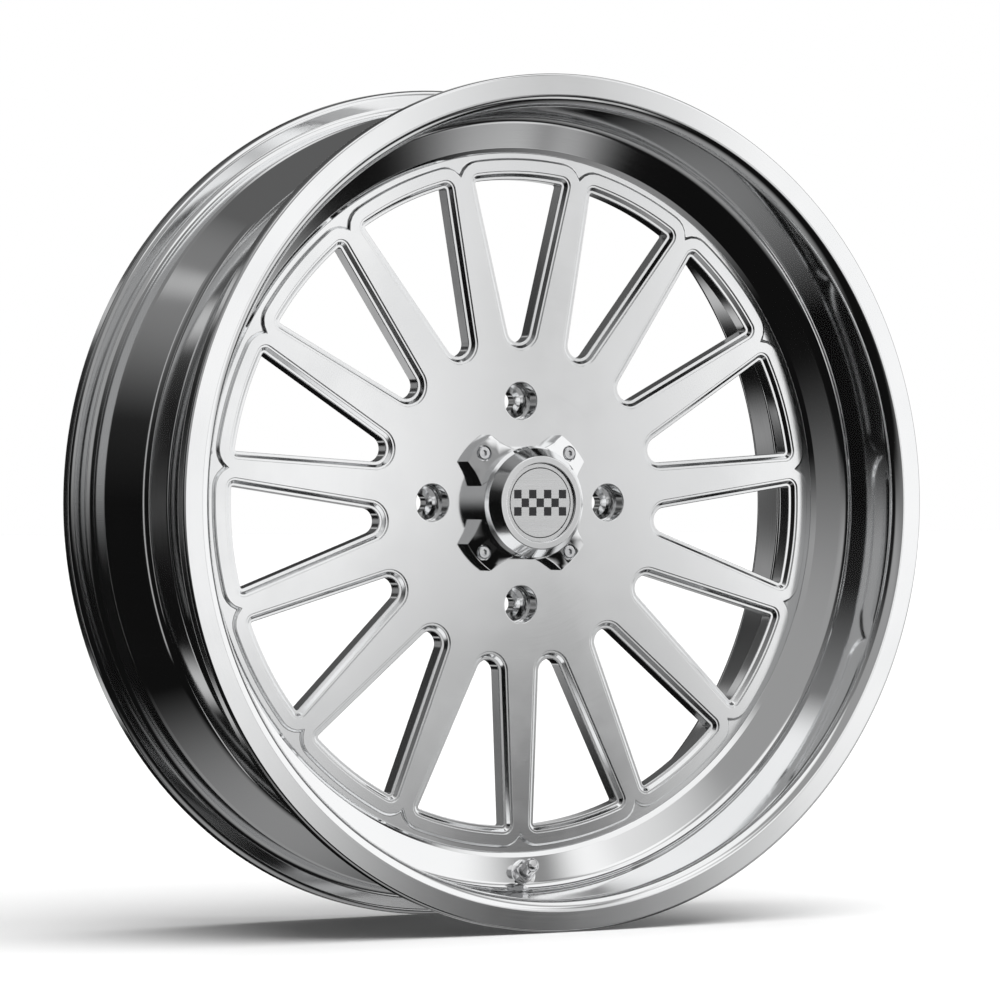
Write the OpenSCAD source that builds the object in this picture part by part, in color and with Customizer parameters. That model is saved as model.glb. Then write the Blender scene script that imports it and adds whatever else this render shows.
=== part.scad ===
// Forged racing wheel, 24 x 7 J, four lug holes, with a screwed-on centre cap
// and a clamp-in metal valve. The axle lies along Y. The outboard face looks
// towards -Y, and +Z is up. The origin is on the axle at half the rim's width.
// Each piece is drawn about +Z with +Z outboard, then turned by on_axle().

/* [Rim] */
// Diameter over the flanges
flange_d = 649; // [600:1:700]
// Width between the tyre beads
bead_width = 177.8; // [165:0.1:215]
// Thickness of each flange at the bead
flange_t = 13; // [11:0.5:15]
// Height of the flange above the bead seat
flange_h = 17.3; // [15:0.1:19]
// Depth of the drop centre under the bead seat
well_depth = 17.7; // [16:0.1:19]
// Thickness of the barrel wall
barrel_t = 5.3; // [5:0.1:7]
// Width of the polished face of the front lip
lip_face_w = 15; // [13:0.5:18]

/* [Disc] */
// Height of the spoke face over the hub pad
hub_t = 32.3; // [30:0.1:38]
// Thickness of the spokes
spoke_t = 15.3; // [13:0.1:18]
// Number of windows, one of them straight up
window_count = 15; // [12:1:18]
// Distance from the axle to the inner end of each window's edge
window_inner_r = 115.5; // [112:0.5:122]
// Width of the metal between a window's edge and the seam
window_margin = 12.9; // [12:0.1:15]
// Half of the angle between the two sides of a window
window_half_angle = 14.25; // [13:0.05:14.8]
// Half the width between the two sides, level with the inner end
window_inner_hw = 13.5; // [12:0.1:14]
// Radius of a window's outer corners
window_corner_r = 9; // [8.5:0.5:12]
// Width of the rounded brim of a window
brim_w = 1.4; // [0.8:0.1:1.6]
// Depth of the brim
brim_d = 1; // [0.6:0.1:1.4]
// Width of the flat step inside the brim
step_w = 1.6; // [1:0.1:1.8]
// Width of the chamfer inside the step
chamfer_w = 2.15; // [1:0.05:2.4]
// Depth of the chamfer
chamfer_d = 2.5; // [1:0.1:3]
// Width of the flat ledge inside the chamfer
sill_w = 2.3; // [1:0.1:2.4]
// Depth of the groove between the disc and the barrel
groove_depth = 2.2; // [1:0.1:3]
// Distance from the axle to the seam between disc and barrel
seam_r = 268.4; // [262:0.2:274]
// Width of the dished ring from the seam to the lip wall
dish_w = 20.6; // [18:0.2:24]

/* [Hub] */
// Diameter of the hub bore
hub_bore_d = 131; // [120:0.5:134]
// Depth of the hub bore from the pad
hub_bore_depth = 14; // [10:0.5:15]
// Diameter of the hub pad
hub_pad_d = 196; // [190:1:204]
// Diameter of the lug hole circle
lug_pcd = 156; // [154:0.5:158]
// Diameter of a lug hole
lug_hole_d = 15.2; // [13:0.1:16]
// Diameter of the lug nut pocket
lug_pocket_d = 28.5; // [27:0.1:30]
// Depth of the lug nut pocket
lug_pocket_depth = 12; // [10:0.5:13]

/* [Centre cap] */
// Diameter of the opening that the cap locates in
cap_opening_d = 76; // [70:0.5:80]
// Diameter of the cap's round wall
cap_wall_d = 86.8; // [84:0.2:90]
// Thickness of the cap's four ears at their ends
ear_t = 8.2; // [7:0.1:10]
// Rise of the ears' sloped faces towards the cap's wall
ear_rise = 3; // [2:0.1:4]
// Distance from the axle to the end of an ear
ear_r = 60.7; // [60:0.1:61.5]
// Half the width of an ear's end
ear_hw = 14.5; // [13:0.1:15]
// Diameter of the screw circle
cap_screw_pcd = 107; // [105:0.5:108]
// Height of the cap over the disc's face
cap_h = 31.3; // [28:0.1:34]
// Diameter of the cap's front edge
cap_front_d = 71; // [69:0.5:74]
// Diameter of the recess for the emblem
emblem_recess_d = 60.6; // [56:0.2:62]
// Thickness of the emblem plate
emblem_t = 1.6; // [1:0.1:2]

/* [Cap screws] */
// Thread diameter
screw_d = 6; // [5:1:6]
// Head diameter
screw_head_d = 10.4; // [9:0.1:10.6]
// Length under the head
screw_l = 16; // [14:1:18]

/* [Valve] */
// Lean of the valve towards the axle
valve_lean = 30; // [28:1:32]
// Diameter of the valve hole
valve_hole_d = 8.3; // [8.2:0.1:8.5]
// Diameter of the valve's shank
valve_shank_d = 7.9; // [7.6:0.1:8]
// Width of the nut across its flats
valve_nut_af = 14; // [13:0.5:16]
// Thickness of the nut
valve_nut_t = 5; // [4:0.5:6]
// Length of the stem over the nut
valve_stem_l = 10; // [9:0.5:14]
// Diameter of the valve cap
valve_cap_d = 11.5; // [11:0.5:13]
// Travel of the core pin
pin_travel = 1.2; // [0.8:0.1:1.4]

/* [Fits] */
// Play between parts that slide or drop into each other
slip = 0.1; // [0.05:0.05:0.15]
// Radial clearance of the core pin
pin_fit = 0.06; // [0.05:0.01:0.1]

/* [Hidden] */
$fn = 96;
eps = 0.01;

// Rim stations, measured from mid width
rim_r = flange_d / 2;
side_z = bead_width / 2 + flange_t;
bead_z = bead_width / 2;
seat_r = rim_r - flange_h;
well_r = seat_r - well_depth;
seat_taper = tan(5);
hump_z = bead_z - 22.7;
hump_in_z = hump_z - 2.5;
hump_out_z = hump_z + 2.3;
hump_r = seat_r - 0.2;
hump_foot_r = seat_r - 2;
edge_r = 2;
lip_in_r = rim_r - lip_face_w;
lip_round = 9.5;
wall_top_r = lip_in_r - lip_round;
dish_r = seam_r + dish_w;
corner_r = 9;
wall_foot_r = dish_r + corner_r - 0.6;
face_z = hub_t;
dish_z = face_z + 4.9;
groove_z = face_z - groove_depth;
disc_back_z = face_z - spoke_t;
ring_depth = disc_back_z + 3.7;
ring_fillet = 20;
well_front_z = 8.3;
well_rear_z = -28;

// Windows
window_pitch = 360 / window_count;
window_outer_r = seam_r - window_margin;
window_end_r = window_inner_hw * cos(window_half_angle) / (1 - sin(window_half_angle));
through_inset = brim_w + step_w + chamfer_w + sill_w;
spoke_pad_margin = 7;
ledge_r = window_outer_r - through_inset + 1.9;
ring_r = window_outer_r + 6.5;

// Cap
screw_seat_z = face_z + ear_t - 2.2;
screw_head_t = 3.8;
screw_socket_af = 4;
spigot_l = 6;
spigot_r = cap_opening_d / 2 - slip;
ring_cord_r = 1.2;
ring_z = face_z - 3;
cap_bore_r = 32;
cap_roof_t = 3.5;
recess_depth = 3.8;
recess_z = face_z + cap_h - recess_depth;

// Valve stations along its own axis, from the washer's seat
valve_r = dish_r - 3.75;
valve_z = dish_z - 2.7;
valve_grip = 11;
grommet_t = 2.5;
base_t = 3;
washer_t = 1.2;
nut_top = washer_t + valve_nut_t;
stem_top = nut_top + valve_stem_l;
core_bore_r = 2.65;
core_top = stem_top - 0.9;
core_bottom = core_top - 14;
pin_r = 0.6;

function arc(cx, cy, r, a0, a1, n) =
    [for (i = [0:n]) let (a = a0 + (a1 - a0) * i / n) [cx + r * cos(a), cy + r * sin(a)]];

function turned(p, a) = [p[0] * cos(a) - p[1] * sin(a), p[0] * sin(a) + p[1] * cos(a)];

function flipped(points) = [for (i = [len(points) - 1:-1:0]) [points[i][0], -points[i][1]]];

module on_axle() {
    rotate([90, 0, 0]) children();
}

module at_lugs(pcd, count, start) {
    for (i = [0:count - 1]) rotate([0, 0, start + i * 360 / count]) translate([pcd / 2, 0, 0]) children();
}

module on_valve() {
    translate([0, -valve_r, valve_z]) rotate([-valve_lean, 0, 0]) children();
}

// Outside of one half of the rim, from the drop centre's side to the flange's tip
function bead_side() = concat(
    [[hump_foot_r, hump_in_z],
     [hump_r, hump_z],
     [seat_r - (bead_z - hump_out_z) * seat_taper, hump_out_z]],
    arc(seat_r + 5.5, bead_z - 6, 6, 180, 90, 5),
    arc(rim_r - 4.5, bead_z + 4.5, 4.5, -90, 0, 5));

// Rounded rim of the flange and the inner edge that follows it
function lip_side() = concat(
    arc(rim_r - edge_r, side_z - edge_r, edge_r, 0, 90, 3),
    arc(lip_in_r, side_z - lip_round, lip_round, 90, 180, 7));

function front_half() = concat(
    [[well_r, well_front_z]],
    bead_side(),
    lip_side(),
    arc(dish_r - 0.6, dish_z + corner_r, corner_r, 0, -90, 6));

// Seat of the disc, and the inner ring behind it
function seam_side() = [
    [seam_r + 3.6, face_z + 0.6],
    [seam_r, groove_z],
    [seam_r, disc_back_z],
    [ledge_r, disc_back_z],
    [ring_r, disc_back_z - ring_depth + 2],
    [ring_r + 2, disc_back_z - ring_depth]];

// Round corner from the back of the inner ring to the barrel's inside
function ring_corner() =
    arc(well_r - barrel_t - ring_fillet, disc_back_z - ring_depth - ring_fillet, ring_fillet, 90, 0, 6);

function rear_half() = concat(
    [[well_r - barrel_t, well_rear_z - 2],
     [seat_r - 8, -hump_in_z + 1]],
    [for (p = flipped(lip_side())) if (p[0] < rim_r) p],
    flipped(bead_side()),
    [[well_r + 3.5, well_rear_z - 9],
     [well_r + 1.1, well_rear_z - 3.5],
     [well_r, well_rear_z]]);

module barrel_ring() {
    rotate_extrude($fn = 144) polygon(concat(front_half(), seam_side(), ring_corner(), rear_half()));
}

module valve_cuts() {
    translate([0, 0, -40]) cylinder(d = valve_hole_d, h = 60);
    cylinder(r = 10.5, h = 26);
    translate([0, 0, -valve_grip - 24]) cylinder(r = 9.5, h = 24);
}

module rim_barrel() {
    color([0.78, 0.79, 0.8]) on_axle() difference() {
        barrel_ring();
        on_valve() valve_cuts();
    }
}

// Half the width of a window at the distance r from the axle
function side_hw(r) = window_inner_hw + (r - window_inner_r) * tan(window_half_angle);

// Outline of a window g outside its edge: a round inner end, two straight sides
// and an outer arc about the axle, with round corners

function window_points(g) =
    let (
        lean = window_half_angle,
        ro = window_outer_r + g,
        rout = window_corner_r + g,
        shift = g / cos(lean),
        // centre of the outer corner, touching the outer arc and the side
        back = ro - rout,
        y0 = side_hw(0) + shift - rout / cos(lean),
        t = tan(lean),
        xo = (-y0 * t + sqrt(y0 * y0 * t * t - (1 + t * t) * (y0 * y0 - back * back))) / (1 + t * t),
        yo = y0 + xo * t,
        ao = atan2(yo, xo),
        upper = concat(
            arc(0, 0, ro, 0, ao, 3),
            arc(xo, yo, rout, ao, 90 + lean, 5),
            arc(window_inner_r + window_end_r, 0, window_end_r + g, 90 + lean, 180, 6)))
    concat(upper, [for (i = [len(upper) - 1:-1:1]) [upper[i][0], -upper[i][1]]]);

// Solid between the outline at inset a, depth da, and the one at inset b, depth db
module sloped_band(a, da, b, db) {
    low = window_points(-a);
    high = window_points(-b);
    n = len(low);
    polyhedron(
        points = concat(
            [for (p = low) [p[0], p[1], face_z - da]],
            [for (p = high) [p[0], p[1], face_z - db]]),
        faces = concat(
            [[for (i = [0:n - 1]) i]],
            [[for (i = [n - 1:-1:0]) n + i]],
            [for (i = [0:n - 1]) [i, n + i, n + (i + 1) % n, (i + 1) % n]]));
}

module window_cut() {
    sloped_band(brim_w, brim_d, -eps, -eps);
    sloped_band(brim_w + step_w + chamfer_w, brim_d + chamfer_d, brim_w + step_w, brim_d - eps);
    translate([0, 0, -1]) linear_extrude(face_z + 2) polygon(window_points(-through_inset));
}

module spoke_pads() {
    cylinder(r = window_outer_r - 3, h = 40);
    for (i = [0:window_count - 1])
        rotate([0, 0, 90 + i * window_pitch]) linear_extrude(40) polygon(window_points(spoke_pad_margin));
}

module disc_blank() {
    pad_r = hub_pad_d / 2;
    rotate_extrude($fn = 144) polygon([
        [cap_opening_d / 2, hub_bore_depth],
        [hub_bore_d / 2, hub_bore_depth],
        [hub_bore_d / 2, 1],
        [hub_bore_d / 2 + 1, 0],
        [pad_r, 0],
        [pad_r + 14, disc_back_z - 5],
        [pad_r + 20, disc_back_z],
        [seam_r - slip / 2, disc_back_z],
        [seam_r - slip / 2, groove_z],
        [seam_r - 2, groove_z],
        [seam_r - 2, face_z],
        [cap_opening_d / 2 + 1, face_z],
        [cap_opening_d / 2, face_z - 1]]);
}

module lug_cut() {
    hole_r = lug_hole_d / 2;
    seat_r = lug_pocket_d / 2 - 1.3;
    rotate_extrude() polygon([
        [0, -1],
        [hole_r, -1],
        [hole_r, face_z - lug_pocket_depth - 11.5],
        [seat_r - 2, face_z - lug_pocket_depth - 7.8],
        [seat_r, face_z - lug_pocket_depth - 4.5],
        [seat_r, face_z - lug_pocket_depth],
        [lug_pocket_d / 2, face_z - lug_pocket_depth],
        [lug_pocket_d / 2, face_z - 0.8],
        [lug_pocket_d / 2 + 0.8 + eps, face_z + eps],
        [0, face_z + eps]]);
}

module wheel_centre() {
    color([0.86, 0.87, 0.88]) on_axle() difference() {
        disc_blank();
        // Groove round the scalloped spoke pads
        translate([0, 0, groove_z]) difference() {
            cylinder(r = seam_r + 1, h = 20);
            translate([0, 0, -1]) spoke_pads();
        }
        for (i = [0:window_count - 1]) rotate([0, 0, 90 + i * window_pitch]) window_cut();
        at_lugs(lug_pcd, 4, 0) lug_cut();
        translate([0, 0, face_z - 13]) at_lugs(cap_screw_pcd, 4, 45) cylinder(d = screw_d, h = 14);
    }
}

// One quarter of the cap's outline: the end of an ear, its side and the round wall
function ear_quarter(a) =
    let (
        wall_r = cap_wall_d / 2,
        end_a = asin(ear_hw / ear_r),
        foot_a = 25.9)
    [for (p = concat(
        arc(0, 0, ear_r, -end_a, end_a, 4),
        [[wall_r + 4, 17.4]],
        arc(0, 0, wall_r, foot_a, 90 - foot_a, 5),
        [[17.4, wall_r + 4]])) turned(p, a)];

module cap_shell() {
    wall_r = cap_wall_d / 2;
    rotate_extrude() polygon([
        [cap_bore_r, face_z - spigot_l],
        [spigot_r - 0.6, face_z - spigot_l],
        [spigot_r, face_z - spigot_l + 0.6],
        [spigot_r, ring_z - 1.5],
        [spigot_r - 2.2, ring_z - 1.5],
        [spigot_r - 2.2, ring_z + 1.5],
        [spigot_r, ring_z + 1.5],
        [spigot_r, face_z],
        [wall_r, face_z],
        [wall_r, face_z + cap_h * 0.6],
        [wall_r - 1.6, face_z + cap_h * 0.73],
        [cap_front_d / 2 + 0.5, face_z + cap_h - 0.6],
        [cap_front_d / 2 - 0.4, face_z + cap_h],
        [emblem_recess_d / 2 + 0.4, face_z + cap_h],
        [emblem_recess_d / 2, face_z + cap_h - 0.4],
        [emblem_recess_d / 2, recess_z],
        [0, recess_z],
        [0, recess_z - cap_roof_t],
        [cap_bore_r - 6, recess_z - cap_roof_t],
        [cap_bore_r, recess_z - cap_roof_t - 6]]);
}

// The space over the sloped face of one ear
module above_ear() {
    wall_r = cap_wall_d / 2;
    translate([wall_r - 4, 0, face_z + ear_t + ear_rise])
        rotate([0, atan(ear_rise / (ear_r - wall_r + 4)), 0])
            translate([0, -25, 0]) cube([30, 50, 12]);
}

module centre_cap() {
    color([0.82, 0.83, 0.84]) on_axle() difference() {
        union() {
            cap_shell();
            difference() {
                translate([0, 0, face_z]) linear_extrude(ear_t + ear_rise) difference() {
                    polygon([for (q = [0:3]) each ear_quarter(45 + q * 90)]);
                    circle(r = cap_bore_r + 2);
                }
                for (q = [0:3]) rotate([0, 0, 45 + q * 90]) above_ear();
            }
        }
        at_lugs(cap_screw_pcd, 4, 45) {
            translate([0, 0, face_z - 1]) cylinder(d = screw_d + 0.5, h = 20);
            translate([0, 0, screw_seat_z]) cylinder(d = screw_head_d + 1.8, h = 9);
        }
    }
}

module cap_emblem() {
    plate_r = emblem_recess_d / 2 - slip - 0.2;
    color([0.75, 0.76, 0.77]) on_axle() translate([0, 0, recess_z]) rotate_extrude() polygon([
        [0, 0],
        [plate_r, 0],
        [plate_r, emblem_t - 0.3],
        [plate_r - 0.3, emblem_t],
        [0, emblem_t]]);
}

module cap_screw() {
    difference() {
        rotate_extrude($fn = 48) polygon([
            [0, -screw_l],
            [screw_d / 2 - 0.8, -screw_l],
            [screw_d / 2 - 0.05, -screw_l + 0.8],
            [screw_d / 2 - 0.05, 0],
            [screw_head_d / 2, 0],
            [screw_head_d / 2, screw_head_t - 1.4],
            [screw_head_d / 2 - 0.5, screw_head_t - 0.5],
            [screw_head_d / 2 - 1.4, screw_head_t],
            [0, screw_head_t]]);
        translate([0, 0, screw_head_t - 2]) cylinder(d = screw_socket_af / cos(30), h = 4, $fn = 6);
    }
}

module cap_screws() {
    color([0.9, 0.9, 0.91]) on_axle() translate([0, 0, screw_seat_z])
        at_lugs(cap_screw_pcd, 4, 45) cap_screw();
}

module cap_o_ring() {
    color([0.08, 0.08, 0.08]) on_axle() translate([0, 0, ring_z]) rotate_extrude()
        translate([spigot_r - 1.05, 0]) circle(r = ring_cord_r, $fn = 32);
}

module valve_body() {
    bottom = -valve_grip - grommet_t - base_t;
    shank_r = valve_shank_d / 2;
    color([0.8, 0.8, 0.81]) on_axle() on_valve() rotate_extrude($fn = 64) polygon([
        [1.6, bottom],
        [6.2, bottom],
        [7.6, bottom + 1.2],
        [7.6, bottom + base_t],
        [shank_r, bottom + base_t],
        [shank_r, nut_top + 1],
        [shank_r - 0.5, nut_top + 1.5],
        [shank_r - 0.5, nut_top + 2.5],
        [shank_r - 0.1, nut_top + 3],
        [shank_r - 0.1, stem_top - 0.6],
        [shank_r - 0.6, stem_top],
        [core_bore_r, stem_top],
        [core_bore_r, core_top - 7.6],
        [2.1, core_top - 8.4],
        [2.1, core_bottom - 4.6],
        [1.6, core_bottom - 5.4]]);
}

module valve_grommet() {
    color([0.07, 0.07, 0.07]) on_axle() on_valve() rotate_extrude($fn = 64) polygon([
        [valve_shank_d / 2 + 0.05, -valve_grip - grommet_t],
        [8, -valve_grip - grommet_t],
        [7.6, -valve_grip],
        [valve_shank_d / 2 + 0.05, -valve_grip]]);
}

module valve_washer() {
    color([0.75, 0.75, 0.76]) on_axle() on_valve() difference() {
        cylinder(r = valve_nut_af / 2 + 0.9, h = washer_t, $fn = 64);
        translate([0, 0, -1]) cylinder(d = valve_shank_d + 0.4, h = 4, $fn = 64);
    }
}

module valve_nut() {
    corner = valve_nut_af / cos(30);
    color([0.85, 0.85, 0.86]) on_axle() on_valve() difference() {
        intersection() {
            translate([0, 0, washer_t]) cylinder(d = corner, h = valve_nut_t, $fn = 6);
            rotate_extrude($fn = 64) polygon([
                [0, washer_t],
                [corner / 2, washer_t],
                [corner / 2, nut_top - 0.8],
                [corner / 2 - 1.2, nut_top],
                [0, nut_top]]);
        }
        translate([0, 0, washer_t - 1]) cylinder(d = valve_shank_d + 0.1, h = valve_nut_t + 2, $fn = 64);
    }
}

module valve_core_body() {
    color([0.78, 0.66, 0.35]) on_axle() on_valve() rotate_extrude($fn = 48) polygon([
        [0.85, core_bottom],
        [1.75, core_bottom],
        [1.75, core_top - 8.2],
        [1.75, core_top - 5.5],
        [core_bore_r - 0.05, core_top - 5.5],
        [core_bore_r - 0.05, core_top - 0.4],
        [core_bore_r - 0.45, core_top],
        [pin_r + pin_fit, core_top],
        [pin_r + pin_fit, core_top - 2.5],
        [1.4, core_top - 2.5],
        [1.4, core_bottom + 1],
        [0.85, core_bottom + 1]]);
}

module valve_core_gasket() {
    color([0.85, 0.3, 0.25]) on_axle() on_valve() rotate_extrude($fn = 48) polygon([
        [1.78, core_top - 7.5],
        [core_bore_r - 0.03, core_top - 7.5],
        [core_bore_r - 0.03, core_top - 5.52],
        [1.78, core_top - 5.52]]);
}

module valve_core_pin() {
    collar_top = core_top - 3;
    color([0.82, 0.7, 0.4]) on_axle() on_valve() rotate_extrude($fn = 48) polygon([
        [0, core_bottom - 2.4],
        [1.5, core_bottom - 2.4],
        [1.5, core_bottom - 1.6],
        [pin_r, core_bottom - 1.6],
        [pin_r, collar_top - 0.8],
        [1.25, collar_top - 0.8],
        [1.25, collar_top],
        [pin_r, collar_top],
        [pin_r, core_top + 0.5],
        [pin_r - 0.2, core_top + 0.7],
        [0, core_top + 0.7]]);
}

module valve_core_seal() {
    color([0.1, 0.1, 0.1]) on_axle() on_valve() rotate_extrude($fn = 48) polygon([
        [pin_r + 0.02, core_bottom - 1.58],
        [1.6, core_bottom - 1.58],
        [1.6, core_bottom - 0.4],
        [1.3, core_bottom - 0.02],
        [pin_r + 0.02, core_bottom - 0.02]]);
}

// Wire of the core spring: a helix with a round section
spring_lo = core_bottom + 1.25;
spring_hi = core_top - 4.05;
spring_turns = 6;
spring_r = 1.03;
wire_r = 0.16;
wire_sides = 8;
wire_rings = 84;

function wire_point(i, j) =
    let (
        u = i / wire_rings,
        a = u * spring_turns * 360,
        b = j * 360 / wire_sides,
        r = spring_r + wire_r * cos(b))
    [r * cos(a), r * sin(a), spring_lo + (spring_hi - spring_lo) * u + wire_r * sin(b)];

module valve_core_spring() {
    color([0.7, 0.7, 0.72]) on_axle() on_valve() polyhedron(
        points = [for (i = [0:wire_rings]) for (j = [0:wire_sides - 1]) wire_point(i, j)],
        faces = concat(
            [[for (j = [wire_sides - 1:-1:0]) j]],
            [[for (j = [0:wire_sides - 1]) wire_rings * wire_sides + j]],
            [for (i = [0:wire_rings - 1]) for (j = [0:wire_sides - 1])
                [i * wire_sides + j, i * wire_sides + (j + 1) % wire_sides,
                 (i + 1) * wire_sides + (j + 1) % wire_sides, (i + 1) * wire_sides + j]]));
}

cap_foot = nut_top + 2.8;
cap_roof = stem_top + 1.3;
cap_skirt_r = valve_shank_d / 2 - 0.1 + slip;

module valve_cap() {
    r = valve_cap_d / 2;
    color([0.8, 0.8, 0.82]) on_axle() on_valve() rotate_extrude($fn = 64) polygon(concat(
        [[cap_skirt_r, cap_foot],
         [r - 0.6, cap_foot],
         [r, cap_foot + 0.6],
         [r, cap_roof - 1]],
        arc(0, cap_roof - 5.2, sqrt(r * r + 4.2 * 4.2), atan2(4.2, r), 90, 5),
        [[0, cap_roof],
         [cap_skirt_r, cap_roof]]));
}

module valve_cap_seal() {
    color([0.12, 0.12, 0.12]) on_axle() on_valve() rotate_extrude($fn = 64) polygon([
        [1.8, cap_roof - 1.1],
        [cap_skirt_r - 0.05, cap_roof - 1.1],
        [cap_skirt_r - 0.05, cap_roof],
        [1.8, cap_roof]]);
}

rim_barrel();
wheel_centre();
centre_cap();
cap_emblem();
cap_screws();
cap_o_ring();
valve_body();
valve_grommet();
valve_washer();
valve_nut();
valve_core_body();
valve_core_gasket();
valve_core_pin();
valve_core_seal();
valve_core_spring();
valve_cap();
valve_cap_seal();
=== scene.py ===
# Forged racing wheel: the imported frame, dressed for a studio picture
import math

import bmesh
import bpy
from mathutils import Matrix, Vector


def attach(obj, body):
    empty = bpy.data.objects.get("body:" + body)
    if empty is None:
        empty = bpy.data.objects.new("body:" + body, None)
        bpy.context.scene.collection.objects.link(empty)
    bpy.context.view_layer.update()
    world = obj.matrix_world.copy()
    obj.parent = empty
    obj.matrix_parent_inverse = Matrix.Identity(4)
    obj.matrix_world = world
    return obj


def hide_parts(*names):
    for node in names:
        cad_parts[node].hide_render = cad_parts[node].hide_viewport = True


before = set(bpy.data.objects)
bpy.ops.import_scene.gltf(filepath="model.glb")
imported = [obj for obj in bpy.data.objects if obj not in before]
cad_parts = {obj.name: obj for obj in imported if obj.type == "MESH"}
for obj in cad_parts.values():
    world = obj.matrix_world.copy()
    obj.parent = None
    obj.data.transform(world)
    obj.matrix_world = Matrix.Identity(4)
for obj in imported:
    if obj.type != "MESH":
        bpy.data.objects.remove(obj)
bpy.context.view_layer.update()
print("frame loaded")

# Shapes are drawn in millimetres about +Z, with +Z outboard and +Y up, and then turned onto the axle
toFrame = Matrix.Rotation(math.radians(90), 4, "X") @ Matrix.Scale(0.001, 4)


# Outlines: lists of (x, y), or of (radius, height) for what is turned on a lathe

def arcPoints(cx, cy, radius, start, end, steps):
    points = []
    for i in range(steps + 1):
        angle = math.radians(start + (end - start) * i / steps)
        points.append((cx + radius * math.cos(angle), cy + radius * math.sin(angle)))
    return points


def turnPoints(points, degrees):
    c, s = math.cos(math.radians(degrees)), math.sin(math.radians(degrees))
    return [(x * c - y * s, x * s + y * c) for x, y in points]


def roundedPath(corners, steps=5, hold=0.25, closed=False):
    # Each corner is (x, y, radius). Short holds beside the rounds keep the flats flat when shaded
    count = len(corners)
    path = []
    for i, (x, y, radius) in enumerate(corners):
        here = Vector((x, y))
        if not closed and i in (0, count - 1):
            path.append(here)
            continue
        before = Vector(corners[i - 1][:2]) - here
        after = Vector(corners[(i + 1) % count][:2]) - here
        a, b = before.normalized(), after.normalized()
        bend = math.pi - a.angle(b)
        reach = radius * math.tan(bend / 2)
        if reach < 1e-6:
            holdA, holdB = min(hold, before.length * 0.2), min(hold, after.length * 0.2)
            path += [here + a * holdA, here, here + b * holdB]
            continue
        reach = min(reach, before.length * 0.48, after.length * 0.48)
        radius = reach / math.tan(bend / 2)
        middle = here + (a + b).normalized() * math.hypot(radius, reach)
        first, last = here + a * reach, here + b * reach
        side = 1 if (first - middle).cross(last - middle) > 0 else -1
        rounds = max(2, min(14, round(steps * bend * max(radius, 1) ** 0.4)))
        if before.length - reach > 4 * hold:
            path.append(first + a * hold)
        for k in range(rounds + 1):
            spoke = (first - middle)
            spoke.rotate(Matrix.Rotation(side * bend * k / rounds, 2))
            path.append(middle + spoke)
        if after.length - reach > 4 * hold:
            path.append(last + b * hold)
    return [tuple(p) for p in path]


# Mesh helpers

def bridgeRings(bm, rings):
    # Skins a stack of (points, height) rings whose points are in step, and gives back the edges of the
    # first and the last. bridge_loops starts some of these rings at the wrong corner and twists them
    loops = [[bm.verts.new((x, y, height)) for x, y in points] for points, height in rings]
    for low, high in zip(loops, loops[1:]):
        for i in range(len(low)):
            bm.faces.new((low[i - 1], low[i], high[i], high[i - 1]))
    return [[bm.edges.get((ring[i - 1], ring[i])) for i in range(len(ring))]
            for ring in (loops[0], loops[-1])]


def circleRing(radius, steps, centre=(0.0, 0.0), start=0.0):
    cx, cy = centre
    return arcPoints(cx, cy, radius, start, start + 360, steps)[:-1]


def sweepCircle(bm, path, steps, centre=(0.0, 0.0)):
    return bridgeRings(bm, [(circleRing(radius, steps, centre), height) for radius, height in path])


def fillPlane(bm, rim, holes, up):
    # Fills between a rim and its holes. A triangle with all its corners on one hole lies inside it
    edges = rim + [edge for hole in holes for edge in hole]
    made = bmesh.ops.triangle_fill(bm, edges=edges, use_beauty=True, use_dissolve=False, normal=(0, 0, up))
    owner = {vert: i for i, hole in enumerate(holes) for edge in hole for vert in edge.verts}
    faces = [f for f in made["geom"] if isinstance(f, bmesh.types.BMFace)]
    inside = [f for f in faces if len({owner.get(v, -1 - k) for k, v in enumerate(f.verts)}) == 1]
    bmesh.ops.delete(bm, geom=inside, context="FACES_ONLY")


def lathe(bm, path, steps):
    verts = [bm.verts.new((x, 0, z)) for x, z in path]
    edges = [bm.edges.new(pair) for pair in zip(verts, verts[1:] + verts[:1])]
    bmesh.ops.spin(bm, geom=verts + edges, cent=(0, 0, 0), axis=(0, 0, 1), angle=math.tau,
                   steps=steps, use_merge=True)
    bmesh.ops.remove_doubles(bm, verts=bm.verts, dist=1e-5)


def closeMesh(bm):
    bmesh.ops.remove_doubles(bm, verts=bm.verts, dist=1e-4)
    bmesh.ops.recalc_face_normals(bm, faces=bm.faces)


def meshObject(name, bm):
    closeMesh(bm)
    mesh = bpy.data.meshes.new(name)
    bm.to_mesh(mesh)
    bm.free()
    obj = bpy.data.objects.new(name, mesh)
    bpy.context.scene.collection.objects.link(obj)
    return obj


def latheObject(name, path, steps=96):
    bm = bmesh.new()
    lathe(bm, path, steps)
    return meshObject(name, bm)


def combine(target, other, operation):
    # Applies a Boolean modifier and removes the other object
    modifier = target.modifiers.new("cut", "BOOLEAN")
    modifier.operation = operation
    modifier.solver = "EXACT"
    modifier.object = other
    evaluated = target.evaluated_get(bpy.context.evaluated_depsgraph_get())
    mesh = bpy.data.meshes.new_from_object(evaluated)
    target.modifiers.clear()
    target.data = mesh
    bpy.data.objects.remove(other)


def placeMesh(obj, matrix):
    obj.data.transform(matrix)
    obj.data.update()
    return obj


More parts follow.
